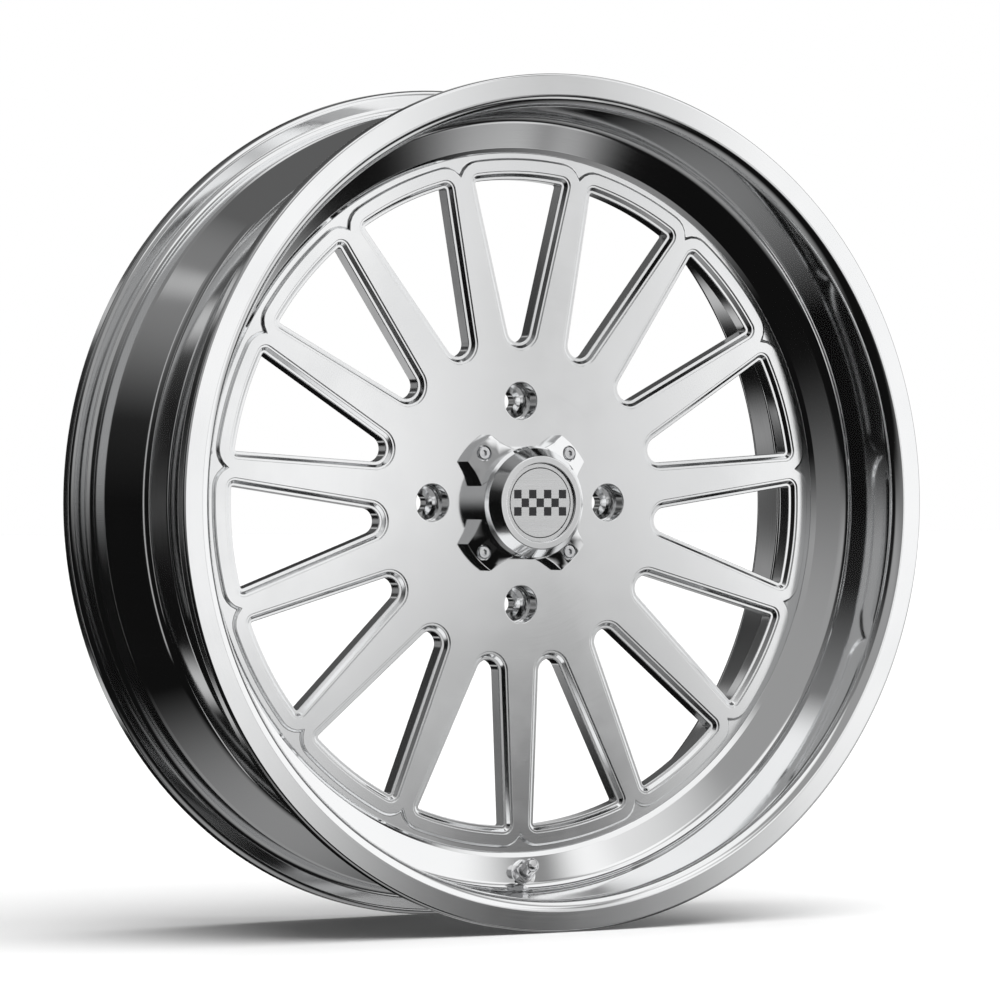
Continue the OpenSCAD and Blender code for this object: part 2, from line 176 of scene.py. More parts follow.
def dressPiece(obj, material, body, nodes, sharp=26):
    # Turns a drawn piece onto the axle and hands it to the frame
    placeMesh(obj, toFrame)
    mesh = obj.data
    mesh.materials.clear()
    mesh.materials.append(material)
    for polygon in mesh.polygons:
        polygon.use_smooth = True
        polygon.material_index = 0
    mesh.set_sharp_from_angle(angle=math.radians(sharp))
    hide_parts(*nodes)
    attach(obj, body)
    print("made", obj.name, len(mesh.polygons))
    return obj


# Materials

class Sock:
    # A node socket that takes part in sums
    def __init__(self, shop, link):
        self.shop, self.link = shop, link

    def maths(self, operation, *others, swap=False):
        values = [*others, self] if swap else [self, *others]
        return self.shop.node("ShaderNodeMath", {"operation": operation}, values)

    def __add__(self, other): return self.maths("ADD", other)
    def __radd__(self, other): return self.maths("ADD", other)
    def __sub__(self, other): return self.maths("SUBTRACT", other)
    def __rsub__(self, other): return self.maths("SUBTRACT", other, swap=True)
    def __mul__(self, other): return self.maths("MULTIPLY", other)
    def __rmul__(self, other): return self.maths("MULTIPLY", other)
    def __truediv__(self, other): return self.maths("DIVIDE", other)
    def __gt__(self, other): return self.maths("GREATER_THAN", other)
    def __lt__(self, other): return self.maths("LESS_THAN", other)
    def __pow__(self, other): return self.maths("POWER", other)


class Shop:
    # Builds one node tree
    def __init__(self, tree):
        self.tree = tree
        tree.nodes.clear()

    def node(self, kind, settings=None, inputs=None, output=0):
        made = self.tree.nodes.new(kind)
        for key, value in (settings or {}).items():
            if key == "stops":
                ramp = made.color_ramp
                while len(ramp.elements) < len(value):
                    ramp.elements.new(0.5)
                for element, (place, colour) in zip(ramp.elements, value):
                    element.position, element.color = place, colour
            else:
                setattr(made, key, value)
        pairs = enumerate(inputs) if isinstance(inputs, list) else (inputs or {}).items()
        for key, value in pairs:
            socket = made.inputs[key]
            if isinstance(value, Sock):
                self.tree.links.new(value.link, socket)
            else:
                socket.default_value = value
        self.made = made
        return Sock(self, made.outputs[output]) if len(made.outputs) else None

    def place(self):
        return self.node("ShaderNodeTexCoord", output="Object")

    def parts(self, vector):
        self.node("ShaderNodeSeparateXYZ", None, [vector])
        return [Sock(self, out) for out in self.made.outputs]

    def join(self, x, y, z):
        return self.node("ShaderNodeCombineXYZ", None, [x, y, z])

    def noise(self, vector, scale, detail=3.0, rough=0.5):
        return self.node("ShaderNodeTexNoise", None,
                         {"Vector": vector, "Scale": scale, "Detail": detail, "Roughness": rough})

    def ramp(self, value, stops):
        grey = [(place, (v, v, v, 1)) for place, v in stops]
        return self.node("ShaderNodeValToRGB", {"stops": grey}, {"Fac": value})

    def mix(self, factor, first, second):
        first, second = [(*c, 1) if isinstance(c, tuple) else c for c in (first, second)]
        self.node("ShaderNodeMix", {"data_type": "RGBA"}, {0: factor, 6: first, 7: second})
        return Sock(self, self.made.outputs[2])

    def bump(self, height, strength, distance):
        return self.node("ShaderNodeBump", None,
                         {"Height": height, "Strength": strength, "Distance": distance})

    def finishMetal(self, inputs):
        shader = self.node("ShaderNodeBsdfPrincipled", None, inputs)
        self.node("ShaderNodeOutputMaterial", None, {"Surface": shader})


def newMaterial(name):
    material = bpy.data.materials.new(name)
    material.use_nodes = True
    return material, Shop(material.node_tree)


def lathePolish(shop, place, rings, along):
    # Fine turning marks: noise that runs round the axle and changes quickly across it
    x, y, z = shop.parts(place)
    radius = (x * x + z * z) ** 0.5
    marks = shop.join(x / radius * along, z / radius * along, (radius + y * 0.9) * rings)
    return shop.noise(marks, 1.0, 4.0, 0.6), radius, y


polish = {"bright": (0.93, 0.935, 0.94), "shade": (0.86, 0.87, 0.88), "markBump": 0.12,
          "markDepth": 0.00002}


def polishedMetal(name, rough, smear, rings=900.0):
    material, shop = newMaterial(name)
    place = shop.place()
    marks, _, _ = lathePolish(shop, place, rings, 3.0)
    cloud = shop.noise(place, 9.0, 5.0, 0.55)
    wipe = shop.noise(place, 55.0, 2.0, 0.5)
    smears = shop.ramp(cloud, [(0.42, 0.0), (0.72, 1.0)])
    colour = shop.mix(smears * 0.35 + wipe * 0.15, polish["bright"], polish["shade"])
    roughness = rough + smears * smear + marks * 0.03
    normal = shop.bump(marks + wipe * 0.2, polish["markBump"], polish["markDepth"])
    shop.finishMetal({"Base Color": colour, "Metallic": 1.0, "Roughness": roughness, "Normal": normal})
    return material


knurl = {"inner": 0.0705, "outer": 0.0868, "radius": 0.3035, "count": 1100.0}


def barrelMetal():
    # Mirror polish, with the fine knurl on the inboard tyre seat that stops the tyre from creeping
    material, shop = newMaterial("barrelPolish")
    place = shop.place()
    marks, radius, y = lathePolish(shop, place, 700.0, 3.0)
    x, _, z = shop.parts(place)
    cloud = shop.noise(place, 7.0, 5.0, 0.55)
    smears = shop.ramp(cloud, [(0.42, 0.0), (0.74, 1.0)])
    angle = z.maths("ARCTAN2", x)
    band = (y > knurl["inner"]) * (y < knurl["outer"]) * (radius > knurl["radius"])
    teeth = (angle * knurl["count"]).maths("SINE") * band
    colour = shop.mix(smears * 0.4 + band * 0.2, polish["bright"], polish["shade"])
    roughness = 0.045 + smears * 0.05 + marks * 0.03 + band * 0.05
    fine = shop.bump(marks, polish["markBump"], polish["markDepth"])
    normal = shop.node("ShaderNodeBump", None,
                       {"Height": teeth, "Strength": 0.25, "Distance": 0.00003, "Normal": fine})
    shop.finishMetal({"Base Color": colour, "Metallic": 1.0, "Roughness": roughness, "Normal": normal})
    return material


emblemLook = {"square": 0.0066, "columns": 7, "rows": 3, "enamel": (0.012, 0.012, 0.014),
              "ringIn": 0.0262, "ringOut": 0.0270}


def emblemMetal():
    # A plain chequered band in black enamel on satin metal
    material, shop = newMaterial("emblemEnamel")
    place = shop.place()
    x, y, z = shop.parts(place)
    size = emblemLook["square"]
    columns, rows = emblemLook["columns"] / 2, emblemLook["rows"] / 2
    u, v = x / size + columns, z / size + rows
    inside = (u > 0.0) * (u < 2 * columns) * (v > 0.0) * (v < 2 * rows)
    odd = (u.maths("FLOOR") + v.maths("FLOOR")).maths("MODULO", 2.0)
    radius = (x * x + z * z) ** 0.5
    ring = (radius > emblemLook["ringIn"]) * (radius < emblemLook["ringOut"])
    enamel = (inside * (1 - odd.maths("ABSOLUTE")) + ring).maths("MINIMUM", 1.0)
    grain = shop.noise(shop.join(x * 3.0, y, z * 260.0), 9.0, 3.0)
    speck = shop.noise(place, 700.0, 2.0)
    metal = shop.mix(grain * 0.5, (0.86, 0.865, 0.87), (0.74, 0.745, 0.75))
    colour = shop.mix(enamel, metal, emblemLook["enamel"])
    shop.finishMetal({"Base Color": colour, "Metallic": 1 - enamel,
                      "Roughness": 0.22 + grain * 0.1 - enamel * 0.08,
                      "Normal": shop.bump(grain * 0.3 - enamel + speck * 0.05, 0.25, 0.0001)})
    return material


def rubber(name, base=(0.02, 0.02, 0.021)):
    material, shop = newMaterial(name)
    place = shop.place()
    dust = shop.noise(place, 400.0, 4.0)
    grain = shop.noise(place, 2500.0, 2.0)
    lighter = tuple(min(1.0, c * 2.5) for c in base)
    shop.finishMetal({"Base Color": shop.mix(dust * 0.6, base, lighter), "Roughness": 0.55 + grain * 0.3,
                      "Normal": shop.bump(grain, 0.3, 0.0001)})
    return material


def turnedMetal(name, base, rough):
    # Small turned or drawn parts, with grain along the work
    material, shop = newMaterial(name)
    place = shop.place()
    grain = shop.noise(place, 1800.0, 4.0, 0.6)
    cloud = shop.noise(place, 120.0, 3.0)
    darker = tuple(c * 0.75 for c in base)
    shop.finishMetal({"Base Color": shop.mix(cloud, base, darker), "Metallic": 1.0,
                      "Roughness": rough + grain * 0.12, "Normal": shop.bump(grain, 0.15, 0.00004)})
    return material


barrelFinish = barrelMetal()
discFinish = polishedMetal("discPolish", rough=0.07, smear=0.06)
capFinish = polishedMetal("capPolish", rough=0.035, smear=0.03, rings=2600.0)
screwFinish = turnedMetal("screwPlate", (0.88, 0.885, 0.9), 0.06)
valveFinish = turnedMetal("valvePolish", (0.80, 0.80, 0.81), 0.10)
nutFinish = turnedMetal("nutPolish", (0.84, 0.84, 0.85), 0.06)
brassFinish = turnedMetal("coreBrass", (0.86, 0.66, 0.32), 0.2)
springFinish = turnedMetal("springWire", (0.7, 0.71, 0.73), 0.18)
rubberFinish = rubber("sealRubber")
gasketFinish = rubber("gasketPlastic", (0.45, 0.06, 0.04))
emblemFinish = emblemMetal()
print("materials made")


# Barrel

barrel = {"rimR": 324.4, "halfW": 101.9, "beadZ": 88.9, "seatR": 307.2, "wellR": 289.5,
          "innerR": 284.2, "humpZ": 66.2, "lipInR": 309.5, "lipRound": 9.5, "steps": 240}

valve = {"lean": 30, "radius": 285.25, "height": 34.5, "hole": 8.3, "grip": 11.0, "shank": 7.9,
         "nutAcross": 14.0, "nutT": 5.0, "washerT": 1.2, "washerR": 7.9, "stem": 10.0, "capD": 11.5}

onValve = (Matrix.Translation((0, -valve["radius"], valve["height"]))
           @ Matrix.Rotation(math.radians(-valve["lean"]), 4, "X"))


def beadSide(side):
    # Tyre seat, hump and flange, from the drop centre outwards; side is 1 in front and -1 behind
    b = barrel
    humpZ, seatR = b["humpZ"], b["seatR"]
    corners = [(seatR - 2.0, humpZ - 2.5, 2.5), (seatR - 0.2, humpZ, 1.6), (seatR - 1.8, humpZ + 2.3, 2.0),
               (seatR - 0.5, b["beadZ"], 6.0), (b["rimR"], b["beadZ"], 4.5), (b["rimR"], b["halfW"], 2.0)]
    return [(r, side * z, radius) for r, z, radius in corners]


def barrelPath():
    b = barrel
    front = [(b["wellR"], 8.3, 30)] + beadSide(1) + [
        (b["lipInR"] - b["lipRound"], b["halfW"], b["lipRound"] - 0.1),
        (297.2, 39.4, 9.0),
        (272.0, 32.9, 0.5),
        (268.45, 30.1, 0.5),
        (268.45, 17.0, 0.4),
        (249.9, 17.0, 0.8),
        (262.3, -3.7, 1.5),
        (b["innerR"], -3.7, 20.0)]
    rear = [(b["innerR"], -30.0, 16),
            (299.2, -62.7, 16),
            (b["lipInR"] - b["lipRound"], -b["halfW"], b["lipRound"] - 0.1)]
    return front + rear + list(reversed(beadSide(-1))) + [(b["wellR"], -29.5, 24)]


def makeBarrel():
    bm = bmesh.new()
    lathe(bm, roundedPath(barrelPath(), steps=6, closed=True), barrel["steps"])
    rim = meshObject("polished_barrel", bm)
    radius = valve["hole"] / 2
    grip = valve["grip"]
    cutter = latheObject("valveCutter", [(0, -grip - 24), (9.5, -grip - 24), (9.5, -grip), (radius, -grip),
                                         (radius, 0), (10.5, 0), (10.5, 26), (0, 26)], 64)
    combine(rim, placeMesh(cutter, onValve), "DIFFERENCE")
    return dressPiece(rim, barrelFinish, "root", ["rim_barrel"])


makeBarrel()


# Disc

disc = {"faceZ": 32.3, "backZ": 17.0, "webZ": 14.0, "seamR": 268.35, "grooveZ": 30.1, "openingR": 38.0,
        "boreR": 65.5, "padR": 98.0, "windows": 15, "lugR": 78.0, "screwR": 53.5}

window = {"innerR": 115.5, "innerHalf": 13.5, "lean": 14.25, "outerR": 255.5, "cornerR": 9.0, "pad": 7.0,
          "brim": (1.4, 1.0), "step": 1.6, "chamfer": (2.15, 2.5), "sill": 2.3}

lean = math.radians(window["lean"])
innerEndR = window["innerHalf"] * math.cos(lean) / (1 - math.sin(lean))


def cornerCentre():
    # Centre of an outer corner's round, the same for every offset of the outline
    reach = window["outerR"] - window["cornerR"]
    t = math.tan(lean)
    start = window["innerHalf"] - window["innerR"] * t - window["cornerR"] / math.cos(lean)
    x = (-start * t + math.sqrt((start * t) ** 2 - (1 + t * t) * (start ** 2 - reach ** 2))) / (1 + t * t)
    return x, start + x * t


def windowOutline(grow, turn):
    x, y = cornerCentre()
    facing = math.degrees(math.atan2(y, x))
    side = 90 + window["lean"]
    upper = arcPoints(0, 0, window["outerR"] + grow, 0, facing, 10)[:-1]
    upper += arcPoints(x, y, window["cornerR"] + grow, facing, side, 9)
    inner = arcPoints(window["innerR"] + innerEndR, 0, innerEndR + grow, side, 180, 12)
    upper += inner
    lower = [(px, -py) for px, py in reversed(upper[1:-1])]
    return turnPoints(upper + lower, turn)


def padOutline(grow):
    # Edge of the raised face: it follows the windows' outer ends and runs into a cusp on each spoke
    x, y = cornerCentre()
    far, facing = math.hypot(x, y), math.atan2(y, x)
    half, steps = math.pi / disc["windows"], 14
    points = []
    for k in range(disc["windows"]):
        middle = math.radians(90) + k * 2 * half
        for i in range(-steps, steps):
            angle = half * i / steps
            off = abs(angle) - facing
            radius = window["outerR"] + grow
            if off > 0:
                corner = window["cornerR"] + grow
                radius = far * math.cos(off) + math.sqrt(corner ** 2 - (far * math.sin(off)) ** 2)
            points.append((radius * math.cos(middle + angle), radius * math.sin(middle + angle)))
    return points


def windowSection():
    # From the face down into a window, as (inset, depth)
    brimW, brimD = window["brim"]
    chamferW, chamferD = window["chamfer"]
    step = brimW + window["step"]
    sill = step + chamferW + window["sill"]
    wall = disc["faceZ"] - disc["backZ"]
    return roundedPath([(-0.6, 0, 0), (brimW, 0, 0.95), (brimW, -brimD, 0), (step, -brimD, 0.35),
                        (step + chamferW, -brimD - chamferD, 0.2), (sill, -brimD - chamferD, 0.5),
                        (sill, -wall, 0.8), (sill - 1.2, -wall, 0)], steps=4, hold=0.15)


def lugSection():
    # From the face down a lug pocket: nut pocket, seat cone and stud hole
    return roundedPath([(15.6, 0, 0), (14.25, 0, 0.6), (14.25, -12, 0.3), (12.95, -12, 0.3),
                        (12.95, -16.5, 0.2), (10.95, -19.8, 0.2), (7.6, -23.5, 0.2),
                        (7.6, -disc["faceZ"], 0.7), (8.6, -disc["faceZ"], 0)], steps=4, hold=0.15)


def makeDisc():
    d = disc
    bm = bmesh.new()
    faceLoops, backLoops, hubLoops = [], [], []
    for k in range(d["windows"]):
        rings = [(windowOutline(-inset, 90 + k * 360 / d["windows"]), d["faceZ"] + depth)
                 for inset, depth in windowSection()]
        top, bottom = bridgeRings(bm, rings)
        faceLoops.append(top)
        backLoops.append(bottom)
    print("windows cut")
    for k in range(4):
        angle = math.radians(90 * k)
        centre = (d["lugR"] * math.cos(angle), d["lugR"] * math.sin(angle))
        top, bottom = sweepCircle(bm, [(r, d["faceZ"] + z) for r, z in lugSection()], 64, centre)
        faceLoops.append(top)
        hubLoops.append(bottom)
        angle += math.pi / 4
        centre = (d["screwR"] * math.cos(angle), d["screwR"] * math.sin(angle))
        threadHole = [(3.5, d["faceZ"]), (3.0, d["faceZ"] - 0.5), (3.0, d["faceZ"] - 13)]
        top, bottom = sweepCircle(bm, threadHole, 32, centre)
        faceLoops.append(top)
        bmesh.ops.contextual_create(bm, geom=bottom)
    # Raised edge, groove, seam and the outside down to the back
    pad = window["pad"]
    steps = len(padOutline(pad))
    edge = roundedPath([(pad - 0.6, d["faceZ"], 0), (pad + 0.5, d["faceZ"], 0.7),
                        (pad + 1.6, d["grooveZ"], 1.0), (pad + 2.6, d["grooveZ"], 0)], steps=4, hold=0.15)
    top, bottom = bridgeRings(bm, [(padOutline(grow), height) for grow, height in edge])
    faceRim = top
    start = 90 - 180 / d["windows"]
    outside = [(circleRing(r, steps, start=start), z) for r, z in
               [(d["seamR"] - 0.3, d["grooveZ"]), (d["seamR"], d["grooveZ"] - 0.3), (d["seamR"], d["backZ"])]]
    seam, back = bridgeRings(bm, outside)
    bmesh.ops.bridge_loops(bm, edges=bottom + seam)
    # Hub: boss, pad, bore, web and the opening behind the cap
    boss = roundedPath([(120.0, d["backZ"], 0), (118.0, d["backZ"], 3), (112, 12, 4), (d["padR"], 0, 1.5),
                        (d["padR"] - 2.5, 0, 0)], steps=5)
    top, bottom = sweepCircle(bm, boss, 180)
    backLoops.append(top)
    hubRim = bottom
    bore = roundedPath([(d["boreR"] + 2.5, 0, 0), (d["boreR"], 0, 0.8), (d["boreR"], d["webZ"], 1.5),
                        (d["openingR"], d["webZ"], 0.8), (d["openingR"], d["faceZ"], 0.8),
                        (d["openingR"] + 2, d["faceZ"], 0)], steps=5)
    top, bottom = sweepCircle(bm, bore, 128)
    hubLoops.append(top)
    faceLoops.append(bottom)
    fillPlane(bm, faceRim, faceLoops, 1)
    fillPlane(bm, back, backLoops, -1)
    fillPlane(bm, hubRim, hubLoops, -1)
    print("disc skinned")
    return dressPiece(meshObject("spoke_disc", bm), discFinish, "root", ["wheel_centre"])


makeDisc()


# Centre cap with its plate and screws

cap = {"earT": 8.2, "earRoot": 11.2, "earR": 60.7, "earHalf": 14.5, "wallR": 43.4, "shoulderR": 41.8,
       "shoulder": 18.8, "height": 31.3, "frontR": 35.5,
       "recessR": 30.3, "recess": 3.8, "roof": 3.5, "plateR": 30.0, "plateT": 1.6, "spigotR": 37.9,
       "spigot": 6.0, "boreR": 32.0, "screwR": 53.5}

screw = {"headR": 5.2, "headT": 3.8, "seat": 6.0, "length": 16.0, "shankR": 2.95, "socket": 4.0,
         "socketDepth": 1.9, "pocketR": 6.1, "clearR": 3.25}


def softenRim(obj, width, above):
    # Breaks the sharp edges of a flat-sided solid above a height
    bm = bmesh.new()
    bm.from_mesh(obj.data)
    bmesh.ops.dissolve_limit(bm, angle_limit=math.radians(0.5), verts=bm.verts, edges=bm.edges)
    sharp = [e for e in bm.edges if e.is_manifold and e.calc_face_angle(0) > math.radians(40)
             and min(v.co.z for v in e.verts) > above]
    bmesh.ops.bevel(bm, geom=sharp, offset=width, offset_type="OFFSET", segments=3, profile=0.5,
                    affect="EDGES", clamp_overlap=True, material=-1)
    bm.to_mesh(obj.data)
    bm.free()


def earOutline():
    end = math.degrees(math.asin(cap["earHalf"] / cap["earR"]))
    points = []
    for k in range(4):
        quarter = arcPoints(0, 0, cap["earR"], -end, end, 8)
        wallR, footA = cap["wallR"] - 0.6, 29
        start, bendAt = Vector((50.2, 16.0)), Vector((44.6, 17.2))
        foot = Vector((wallR * math.cos(math.radians(footA)), wallR * math.sin(math.radians(footA))))
        curve = []
        for i in range(9):
            t = i / 8
            p = start * (1 - t) ** 2 + bendAt * 2 * t * (1 - t) + foot * t * t
            curve.append((p.x, p.y))
        quarter += curve
        quarter += arcPoints(0, 0, wallR, footA, 90 - footA, 6)[1:-1]
        quarter += [(y, x) for x, y in reversed(curve)]
        points += turnPoints(quarter, 45 + 90 * k)
    return points


def makeCap():
    z = disc["faceZ"]
    bm = bmesh.new()
    outline = bm.faces.new([bm.verts.new((x, y, z)) for x, y in earOutline()])
    raised = bmesh.ops.extrude_face_region(bm, geom=[outline])["geom"]
    bmesh.ops.translate(bm, vec=(0, 0, cap["earRoot"]),
                        verts=[v for v in raised if isinstance(v, bmesh.types.BMVert)])
    ears = meshObject("screwed_cap", bm)
    rise = cap["earRoot"] - cap["earT"]
    tilt = Matrix.Rotation(math.atan2(rise, cap["earR"] - cap["wallR"] + 4), 4, "Y")
    for k in range(4):
        bm = bmesh.new()
        bmesh.ops.create_cube(bm, size=1.0)
        above = meshObject("aboveEar", bm)
        lift = Matrix.Translation((15, 0, 6)) @ Matrix.Diagonal((30, 50, 12, 1))
        seat = Matrix.Translation((cap["wallR"] - 4, 0, z + cap["earRoot"]))
        turn = Matrix.Rotation(math.radians(45 + 90 * k), 4, "Z")
        combine(ears, placeMesh(above, turn @ seat @ tilt @ lift), "DIFFERENCE")
    softenRim(ears, 0.6, z + 5)
    top = z + cap["height"]
    body = latheObject("capBody", roundedPath([
        (0, z - 1, 0), (cap["wallR"], z - 1, 0), (cap["wallR"], z + cap["shoulder"], 0.6),
        (cap["shoulderR"], z + cap["shoulder"] + 4.1, 0.6), (cap["frontR"], top, 0.8),
        (cap["recessR"], top, 0.5), (cap["recessR"], top - cap["recess"], 0), (0, top - cap["recess"], 0)],
        steps=6), 160)
    combine(ears, body, "UNION")
    spigotR, end = cap["spigotR"], z - cap["spigot"]
    spigot = latheObject("capSpigot", [(0, end), (spigotR - 0.6, end), (spigotR, end + 0.6),
                                       (spigotR, z + 1), (0, z + 1)], 128)
    combine(ears, spigot, "UNION")
    below = latheObject("capBelow", [(0, z - 7), (70, z - 7), (70, z), (spigotR + 0.02, z),
                                     (spigotR + 0.02, end - 0.01), (0, end - 0.01)], 128)
    combine(ears, below, "DIFFERENCE")
    inside, boreR = z + cap["height"] - cap["recess"] - cap["roof"], cap["boreR"]
    hollow = latheObject("capHollow", roundedPath([
        (0, z - 8, 0), (boreR, z - 8, 0), (boreR, inside - 6, 1), (boreR - 6, inside, 1),
        (0, inside, 0)], steps=5), 96)
    combine(ears, hollow, "DIFFERENCE")
    seat = z + screw["seat"]
    for k in range(4):
        pocket = latheObject("screwPocket", roundedPath([
            (0, z - 2, 0), (screw["clearR"], z - 2, 0), (screw["clearR"], seat, 0),
            (screw["pocketR"], seat, 0.3), (screw["pocketR"], z + 14, 0), (0, z + 14, 0)],
            steps=4, hold=0.1), 48)
        turn = Matrix.Rotation(math.radians(45 + 90 * k), 4, "Z") @ Matrix.Translation((cap["screwR"], 0, 0))
        combine(ears, placeMesh(pocket, turn), "DIFFERENCE")
    return dressPiece(ears, capFinish, "root", ["centre_cap"])


def makeEmblem():
    floor = disc["faceZ"] + cap["height"] - cap["recess"]
    plate = latheObject("emblem_plate", roundedPath([
        (0, floor, 0), (cap["plateR"], floor, 0), (cap["plateR"], floor + cap["plateT"], 0.35),
        (0, floor + cap["plateT"], 0)], steps=5), 128)
    return dressPiece(plate, emblemFinish, "root", ["cap_emblem"])


def hexRing(across, steps):
    # A hexagon with as many points as a circle of the same steps, so the two bridge evenly
    points = []
    for x, y in circleRing(1.0, steps):
        angle = math.atan2(y, x)
        local = (angle + math.pi / 6) % (math.pi / 3) - math.pi / 6
        radius = across / 2 / math.cos(local)
        points.append((x * radius, y * radius))
    return points


def makeScrews():
    s = screw
    seat = disc["faceZ"] + s["seat"]
    bm = bmesh.new()
    for k in range(4):
        angle = math.radians(45 + 90 * k)
        cx, cy = cap["screwR"] * math.cos(angle), cap["screwR"] * math.sin(angle)
        body = roundedPath([(0.02, -s["length"], 0), (s["shankR"], -s["length"], 0.8), (s["shankR"], 0, 0),
                            (s["headR"], 0, 0.3), (s["headR"], s["headT"], 1.1),
                            (s["socket"] / 2 + 0.9, s["headT"], 0)], steps=5, hold=0.1)
        rings = [(circleRing(r, 48, (cx, cy)), seat + z) for r, z in body]
        hexes = [(0.35, 0.0), (0.0, -0.25), (0.0, -s["socketDepth"])]
        for wider, drop in hexes:
            ring = [(cx + x, cy + y) for x, y in hexRing(s["socket"] + wider, 48)]
            rings.append((ring, seat + s["headT"] + drop))
        first, last = bridgeRings(bm, rings)
        bmesh.ops.contextual_create(bm, geom=last)
        bmesh.ops.contextual_create(bm, geom=first)
    return dressPiece(meshObject("socket_screws", bm), screwFinish, "root", ["cap_screws"])


makeCap()
makeEmblem()
makeScrews()


# Valve

def valveTop():
    return valve["washerT"] + valve["nutT"] + valve["stem"]


def makeValve():
    v = valve
    top, shank, grip = valveTop(), v["shank"] / 2, v["grip"]
    nutTop = v["washerT"] + v["nutT"]
    thread = []
    pitch = 0.8
    turns = int((v["stem"] - 4.2) / pitch)
    for i in range(turns):
        z = nutTop + 3.4 + i * pitch
        thread += [(shank - 0.1, z + 0.1), (shank - 0.1, z + 0.25), (shank - 0.5, z + 0.5),
                   (shank - 0.5, z + 0.65)]
    foot = [(1.6, -grip - 5.5), (6.6, -grip - 5.5), (7.4, -grip - 4.6), (7.6, -grip - 4.0),
            (7.6, -grip - 2.8), (7.3, -grip - 2.5), (shank, -grip - 2.5), (shank, nutTop + 1.0),
            (shank - 0.5, nutTop + 1.5), (shank - 0.5, nutTop + 3.0)]
    bore = [(shank - 0.6, top), (2.65, top), (2.65, top - 8.5), (2.1, top - 9.3), (2.1, top - 19.5),
            (1.6, top - 20.3)]
    stem = latheObject("valve_stem", foot + thread + bore, 64)
    dressPiece(placeMesh(stem, onValve), valveFinish, "root", ["valve_body"])
    hole = shank + 0.2
    washer = latheObject("valve_washer_plain", roundedPath([
        (hole, 0, 0.1), (v["washerR"], 0, 0.2), (v["washerR"], v["washerT"], 0.3),
        (hole, v["washerT"], 0.1)], steps=4, hold=0.1, closed=True), 72)
    dressPiece(placeMesh(washer, onValve), valveFinish, "root", ["valve_washer"])
    bm = bmesh.new()
    flats = hexRing(v["nutAcross"], 6 * 12)
    bridgeRings(bm, [(flats, v["washerT"] - 1), (flats, nutTop + 1)])
    for edges in ([e for e in bm.edges if e.is_boundary and all(x.co.z < nutTop for x in e.verts)],
                  [e for e in bm.edges if e.is_boundary and all(x.co.z > nutTop for x in e.verts)]):
        bmesh.ops.contextual_create(bm, geom=edges)
    nut = meshObject("valve_clamp_nut", bm)
    corner = v["nutAcross"] / math.sqrt(3)
    dome = roundedPath([(shank + 0.05, v["washerT"], 0.3), (corner - 0.2, v["washerT"], 0),
                        (corner + 0.1, v["washerT"] + 0.3, 0), (corner + 0.1, nutTop - 1.1, 0),
                        (corner - 1.7, nutTop, 0.1), (shank + 0.05, nutTop, 0.5)],
                       steps=4, hold=0.1, closed=True)
    combine(nut, latheObject("nutDome", dome, 96), "INTERSECT")
    dressPiece(placeMesh(nut, onValve), nutFinish, "root", ["valve_nut"])
    skirt, roof, radius = nutTop + 2.8, top + 1.3, v["capD"] / 2
    shell = roundedPath([(shank, skirt, 0.2), (radius, skirt, 0.6), (radius, roof + 0.4, 4.2),
                         (3.2, roof + 2.5, 3.0), (0, roof + 2.52, 0), (0, roof, 0), (shank, roof, 0.3)],
                        steps=6, hold=0.1, closed=True)
    capShell = latheObject("valve_dust_cap", shell, 96)
    dressPiece(placeMesh(capShell, onValve), nutFinish, "stem_cap", ["valve_cap"])
    boot = latheObject("valve_grommet_ring", roundedPath([
        (shank + 0.05, -grip - 2.5, 0), (8.0, -grip - 2.5, 0.6), (7.6, -grip, 0.3),
        (shank + 0.05, -grip, 0)], steps=5, hold=0.1, closed=True), 72)
    dressPiece(placeMesh(boot, onValve), rubberFinish, "root", ["valve_grommet"])


makeValve()

for node, finish in {"cap_o_ring": rubberFinish, "valve_core_body": brassFinish, "valve_core_gasket": gasketFinish,
                     "valve_core_pin": brassFinish, "valve_core_seal": rubberFinish,
                     "valve_core_spring": springFinish, "valve_cap_seal": rubberFinish}.items():
    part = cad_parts[node]
    for place in part.material_slots:
        place.material = finish
print("valve and inner parts dressed")


# Studio

studio = {"floor": -0.3245, "floorHalf": 30, "lens": 185.6, "camera": (-2.007, -3.441, 0.010),
          "aim": (0.5039, 0.8638, -0.002), "sun": 3.1, "sunSpread": 70}


def makeFloor():
    bm = bmesh.new()
    bmesh.ops.create_grid(bm, x_segments=1, y_segments=1, size=studio["floorHalf"])
    bmesh.ops.translate(bm, vec=(0, 0, studio["floor"]), verts=bm.verts)
    mesh = bpy.data.meshes.new("studioFloor")
    bm.to_mesh(mesh)
    bm.free()
    floor = bpy.data.objects.new("studioFloor", mesh)
    bpy.context.scene.collection.objects.link(floor)
    material, shop = newMaterial("paleFloor")
    tone = shop.mix(shop.noise(shop.place(), 2.0, 2.0), (0.86, 0.86, 0.86), (0.89, 0.89, 0.89))
    shop.finishMetal({"Base Color": tone, "Roughness": 0.9})
    mesh.materials.append(material)
    floor.visible_glossy = False


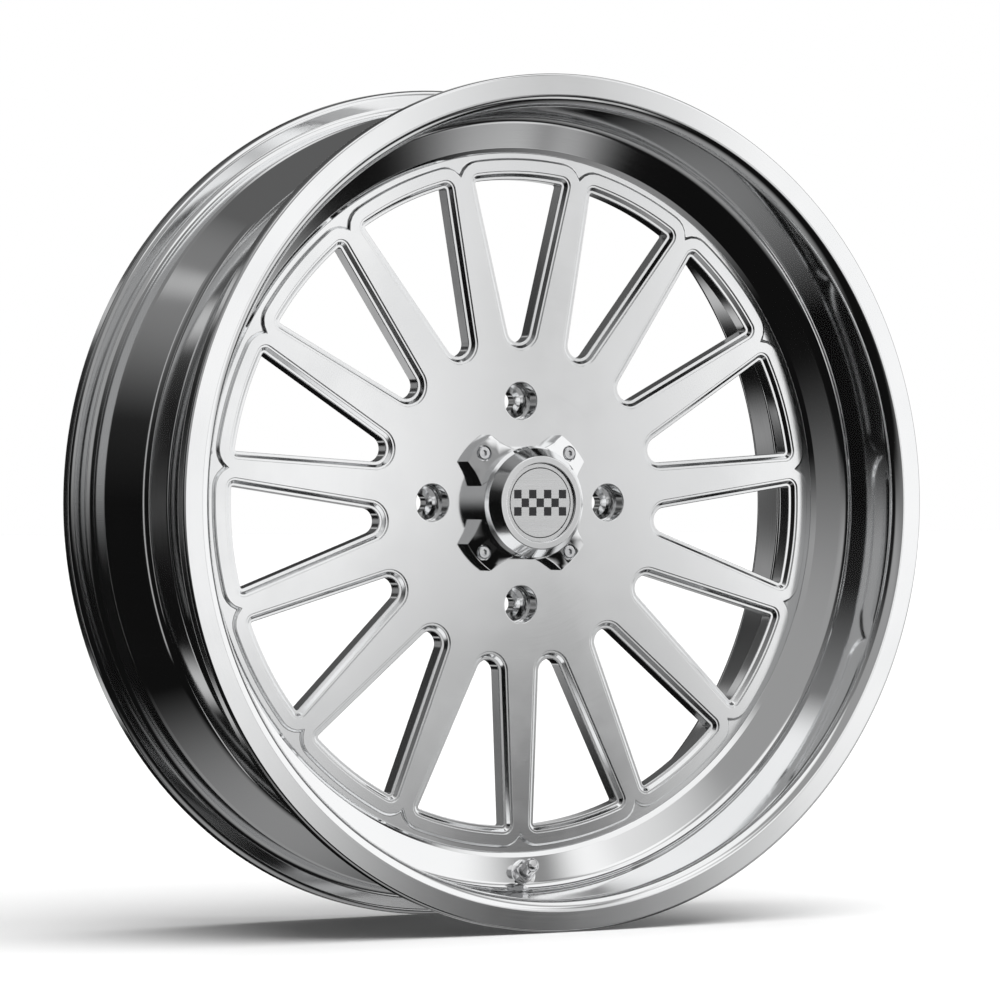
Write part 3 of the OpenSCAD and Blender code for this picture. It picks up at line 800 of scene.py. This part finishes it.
# Soft boxes and drapes round the wheel: (azimuth, elevation, half width, half height, blur, brightness).
# Azimuth is in degrees from the outboard side towards +X
boxes = {
    "frontRight": (52, 15, 30, 22, 6, 1.0),
    "frontLow": (66, -20, 14, 14, 5, 0.75),
    "frontFoot": (34, -27, 7, 7, 4, 0.7),
    "frontHigh": (22, 30, 10, 12, 6, 1.0),
    "frontHaze": (8, 12, 12, 10, 6, 0.22),
    "leftHaze": (-15, 45, 40, 46, 10, 0.32),
    "upperHaze": (-80, 62, 60, 34, 16, 0.2),
    "rearHaze": (170, 52, 70, 30, 16, 0.11),
    "rearStrip": (-166, 0, 3, 45, 2.5, 0.5),
    "rearLine": (-151, 12, 1.5, 30, 1.5, 0.3),
    "leftStrip": (-118, 14, 3, 46, 3, 0.45),
    "rearRight": (128, 8, 24, 26, 8, 0.8),
    "overhead": (0, 90, 200, 14, 10, 0.9),
    "overheadFront": (20, 66, 78, 24, 9, 0.95),
    "under": (180, -78, 200, 24, 16, 0.27),
}
drapes = {
    "faceStreak": (30.9, 0, 0.8, 60, 1.9, 0.62),
    "faceFoot": (30.4, -7, 2.0, 5.2, 2.0, 0.8),
    "dishFoot": (32.5, 26, 2, 8, 4, 0.97),
}


def makeSky():
    # A dark room with soft boxes; the camera itself sees plain white behind the wheel
    world = bpy.data.worlds.new("studio")
    bpy.context.scene.world = world
    world.use_nodes = True
    shop = Shop(world.node_tree)
    direction = shop.node("ShaderNodeTexCoord", output="Generated")
    x, y, z = shop.parts(direction)
    azimuth = x.maths("ARCTAN2", y * -1.0) * math.degrees(1)
    elevation = z.maths("ARCSINE") * math.degrees(1)

    def falloff(distance, half, blur):
        return shop.node("ShaderNodeMapRange", {"interpolation_type": "SMOOTHSTEP"},
                         {"Value": distance, "From Min": half + blur, "From Max": half - blur})

    def panel(azimuthAt, elevationAt, halfWidth, halfHeight, blur, level):
        turned = (azimuth - azimuthAt + 540.0).maths("FLOORED_MODULO", 360.0)
        across = (turned - 180.0).maths("ABSOLUTE")
        above = (elevation - elevationAt).maths("ABSOLUTE")
        return falloff(across, halfWidth, blur) * falloff(above, halfHeight, blur) * level

    tone = 0.005 + z.maths("MAXIMUM", 0.0) * 0.04
    for box in boxes.values():
        tone = tone.maths("MAXIMUM", panel(*box))
    for drape in drapes.values():
        tone = tone * (1 - panel(*drape))
    seen = shop.node("ShaderNodeLightPath", output="Is Camera Ray")
    shade = shop.mix(seen, shop.join(tone, tone, tone), (1.0, 1.0, 1.0))
    back = shop.node("ShaderNodeBackground", None, {"Color": shade, "Strength": 1.0})
    shop.node("ShaderNodeOutputWorld", None, {"Surface": back})


def makeLights():
    sun = bpy.data.lights.new("softTop", "SUN")
    sun.energy = studio["sun"]
    sun.angle = math.radians(studio["sunSpread"])
    lamp = bpy.data.objects.new("softTop", sun)
    lamp.rotation_euler = (math.radians(12), math.radians(8), 0)
    lamp.visible_glossy = False
    bpy.context.scene.collection.objects.link(lamp)


def makeCamera():
    data = bpy.data.cameras.new("view")
    data.lens, data.sensor_width = studio["lens"], 36
    camera = bpy.data.objects.new("view", data)
    camera.location = studio["camera"]
    camera.rotation_mode = "QUATERNION"
    camera.rotation_quaternion = Vector(studio["aim"]).to_track_quat("-Z", "Y")
    bpy.context.scene.collection.objects.link(camera)
    bpy.context.scene.camera = camera


makeFloor()
makeSky()
makeLights()
makeCamera()
bpy.context.scene.view_settings.view_transform = "Standard"

print("studio set")
